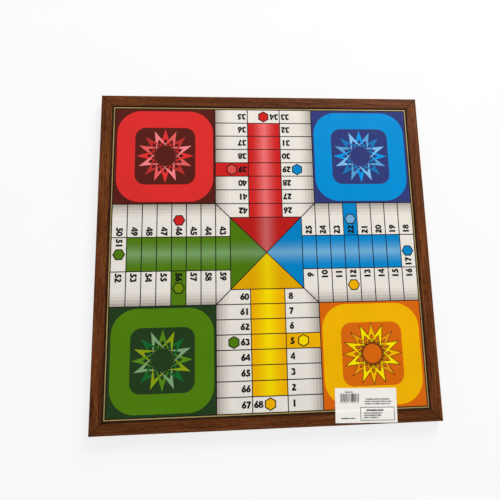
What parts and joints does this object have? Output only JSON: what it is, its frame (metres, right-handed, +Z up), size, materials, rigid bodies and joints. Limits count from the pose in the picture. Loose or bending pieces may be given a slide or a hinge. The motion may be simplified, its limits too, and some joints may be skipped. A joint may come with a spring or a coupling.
{
  "type": "combination game board",
  "caption": "Square reversible game board: a cross-shaped race game with corner homes on the front and a chequered field on the back, in a mitred wooden frame.",
  "frame": {"origin": "middle of the underside, on the plane that the frame rests on", "axes": "+Z up out of the race game's face, +Y towards the far player, +X towards the right-hand player"},
  "size_m": [0.4, 0.4, 0.0101],
  "materials": {
    "core_wood": "plain",
    "frame_wood": "stained satin",
    "spline_wood": "plain",
    "front_paper": "gloss laminate",
    "back_paper": "gloss laminate",
    "black_print": "gloss laminate",
    "gold_foil": "satin foil",
    "yellow_print": "gloss laminate",
    "orange_print": "gloss laminate",
    "blue_print": "gloss laminate",
    "navy_print": "gloss laminate",
    "red_print": "gloss laminate",
    "maroon_print": "gloss laminate",
    "green_print": "gloss laminate",
    "dark_green_print": "gloss laminate",
    "star_print": "gloss laminate",
    "dark_square_print": "gloss laminate",
    "light_square_print": "gloss laminate",
    "label_paper": "matt"
  },
  "bodies": {
    "root": {"core_panel": "core_wood", "front_sheet": "front_paper", "back_sheet": "back_paper", "near_rail": "frame_wood", "right_rail": "frame_wood", "far_rail": "frame_wood", "left_rail": "frame_wood", "near_left_spline": "spline_wood", "near_right_spline": "spline_wood", "far_right_spline": "spline_wood", "far_left_spline": "spline_wood", "front_border": "black_print", "front_gold_line": "gold_foil", "cell_lines": "black_print", "yellow_home_ground": "orange_print", "yellow_home_panel": "yellow_print", "yellow_home_inset": "orange_print", "yellow_home_star": "star_print", "yellow_start_cell": "yellow_print", "yellow_home_run": "yellow_print", "yellow_goal": "yellow_print", "yellow_safe_marks": "yellow_print", "blue_home_ground": "navy_print", "blue_home_panel": "blue_print", "blue_home_inset": "navy_print", "blue_home_star": "star_print", "blue_start_cell": "blue_print", "blue_home_run": "blue_print", "blue_goal": "blue_print", "blue_safe_marks": "blue_print", "red_home_ground": "maroon_print", "red_home_panel": "red_print", "red_home_inset": "maroon_print", "red_home_star": "star_print", "red_start_cell": "red_print", "red_home_run": "red_print", "red_goal": "red_print", "red_safe_marks": "red_print", "green_home_ground": "dark_green_print", "green_home_panel": "green_print", "green_home_inset": "dark_green_print", "green_home_star": "star_print", "green_start_cell": "green_print", "green_home_run": "green_print", "green_goal": "green_print", "green_safe_marks": "green_print", "shelf_label": "label_paper", "back_border": "black_print", "back_gold_line": "gold_foil", "chequer_line": "gold_foil", "dark_squares": "dark_square_print", "light_squares": "light_square_print"}
  },
  "joints": []
}
